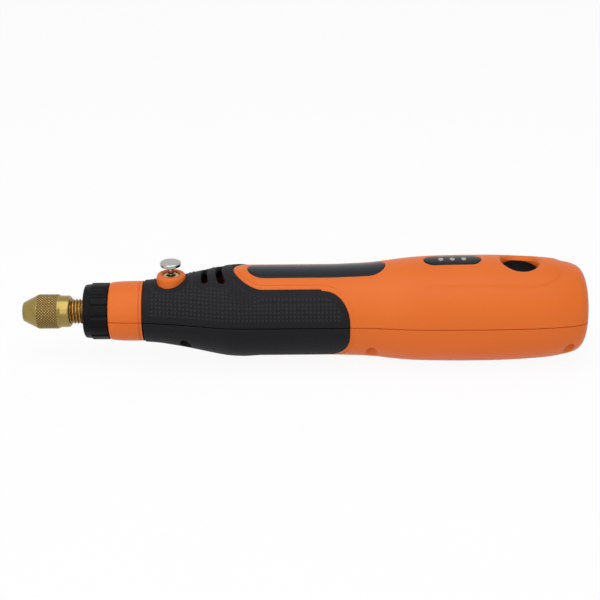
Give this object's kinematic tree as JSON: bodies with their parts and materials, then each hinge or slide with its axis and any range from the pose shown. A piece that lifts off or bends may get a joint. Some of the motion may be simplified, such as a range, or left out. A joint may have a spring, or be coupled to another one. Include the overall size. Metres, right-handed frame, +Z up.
{
  "type": "engraving pen",
  "caption": "Cordless engraving pen with a brass collet chuck, ribbed nose ring, soft grips, spindle lock pin and power button.",
  "frame": {"origin": "centre of the pen's bounding box in plan, on the small flat of its belly at z = 0", "axes": "+X from the nose towards the rear end, +Z up through the lock pin and the power button, +Y to the left for someone looking along +X"},
  "size_m": [0.1815, 0.0338, 0.0334],
  "materials": {
    "orange_abs": "fine satin moulding",
    "grip_rubber": "matt, finely squared",
    "black_abs": "satin",
    "smoked_window": "gloss",
    "brass": "turned",
    "bright_steel": "ground",
    "chrome": "polished plating",
    "zinc_steel": "zinc plated",
    "nickel_strip": "nickel",
    "sintered_bronze": "sintered, matt",
    "copper": "enamelled wire and drawn copper",
    "laminated_iron": "stacked sheet",
    "ferrite": "ground, dull",
    "wrapped_cell": "shrink sleeve",
    "green_board": "solder mask",
    "clear_polycarbonate": "clear",
    "lamp_resin": "cast resin",
    "red_insulation": "extruded sleeve",
    "black_insulation": "extruded sleeve"
  },
  "bodies": {
    "housing": {"upper_shell": "orange_abs", "lower_shell": "orange_abs", "upper_grip": "grip_rubber", "lower_grip": "grip_rubber", "label_plate": "black_abs", "led_window": "smoked_window", "light_guide": "clear_polycarbonate", "charge_lamp_1": "lamp_resin", "charge_lamp_2": "lamp_resin", "charge_lamp_3": "lamp_resin", "circuit_board": "green_board", "board_screw_front": "zinc_steel", "board_screw_rear": "zinc_steel", "charge_socket": "nickel_strip", "tact_switch": "black_abs", "battery_cell": "wrapped_cell", "battery_tab_front": "nickel_strip", "battery_tab_rear": "nickel_strip", "battery_lead": "red_insulation", "motor_lead_red": "red_insulation", "motor_lead_black": "black_insulation", "motor_can": "zinc_steel", "motor_end_cap": "black_abs", "motor_bush_front": "sintered_bronze", "motor_bush_rear": "sintered_bronze", "motor_magnet_top": "ferrite", "motor_magnet_bottom": "ferrite", "motor_brush_left": "sintered_bronze", "motor_brush_right": "sintered_bronze", "front_bearing_outer": "bright_steel", "rear_bearing_outer": "bright_steel", "lock_bush": "brass", "lock_spring": "bright_steel", "case_screw_1": "zinc_steel", "case_screw_2": "zinc_steel", "case_screw_3": "zinc_steel", "case_screw_4": "zinc_steel", "case_screw_5": "zinc_steel", "case_screw_6": "zinc_steel"},
    "spindle_set": {"spindle": "brass", "lock_collar": "zinc_steel", "spacer_sleeve": "bright_steel", "shaft_coupling": "zinc_steel", "motor_shaft": "bright_steel", "armature_core": "laminated_iron", "armature_coil_1": "copper", "armature_coil_2": "copper", "armature_coil_3": "copper", "commutator": "copper", "front_bearing_inner": "bright_steel", "rear_bearing_inner": "bright_steel"},
    "front_cage": {"front_bearing_balls": "bright_steel"},
    "rear_cage": {"rear_bearing_balls": "bright_steel"},
    "collet_body": {"collet": "bright_steel"},
    "nut_body": {"chuck_nut": "brass"},
    "lock_body": {"lock_pin": "chrome"},
    "button_body": {"power_button": "black_abs", "switch_plunger": "black_abs"},
    "nose_ring_body": {"nose_ring": "black_abs"}
  },
  "joints": [
    {"name": "spindle_spin", "type": "hinge", "parent": "housing", "child": "spindle_set", "pos_m": [-0.05, 0, 0.0165], "axis": [1, 0, 0], "continuous": true},
    {"name": "front_cage_spin", "type": "hinge", "parent": "housing", "child": "front_cage", "pos_m": [-0.05, 0, 0.0165], "axis": [1, 0, 0], "continuous": true},
    {"name": "rear_cage_spin", "type": "hinge", "parent": "housing", "child": "rear_cage", "pos_m": [-0.05, 0, 0.0165], "axis": [1, 0, 0], "continuous": true},
    {"name": "collet_slide", "type": "slide", "parent": "spindle_set", "child": "collet_body", "axis": [-1, 0, 0], "range_m": [0, 0.0025]},
    {"name": "nut_turn", "type": "hinge", "parent": "collet_body", "child": "nut_body", "pos_m": [-0.08, 0, 0.0165], "axis": [-1, 0, 0], "range_deg": [0, 900.1]},
    {"name": "lock_press", "type": "slide", "parent": "housing", "child": "lock_body", "axis": [0, 0, -1], "range_m": [0, 0.0018], "stiffness_N_per_m": 300, "springref_m": -0.003, "deforming": ["lock_spring"]},
    {"name": "button_press", "type": "slide", "parent": "housing", "child": "button_body", "axis": [0, 0, -1], "range_m": [0, 0.0004], "stiffness_N_per_m": 800, "springref_m": -0.001},
    {"name": "nose_ring_slide", "type": "slide", "parent": "housing", "child": "nose_ring_body", "axis": [-1, 0, 0], "range_m": [0, 0.028]}
  ],
  "couplings": [
    {"joint": "front_cage_spin", "follows": "spindle_spin", "ratio": 0.3895},
    {"joint": "rear_cage_spin", "follows": "spindle_spin", "ratio": 0.3875},
    {"joint": "nut_turn", "follows": "collet_slide", "rad_per_m": 6283.2}
  ]
}
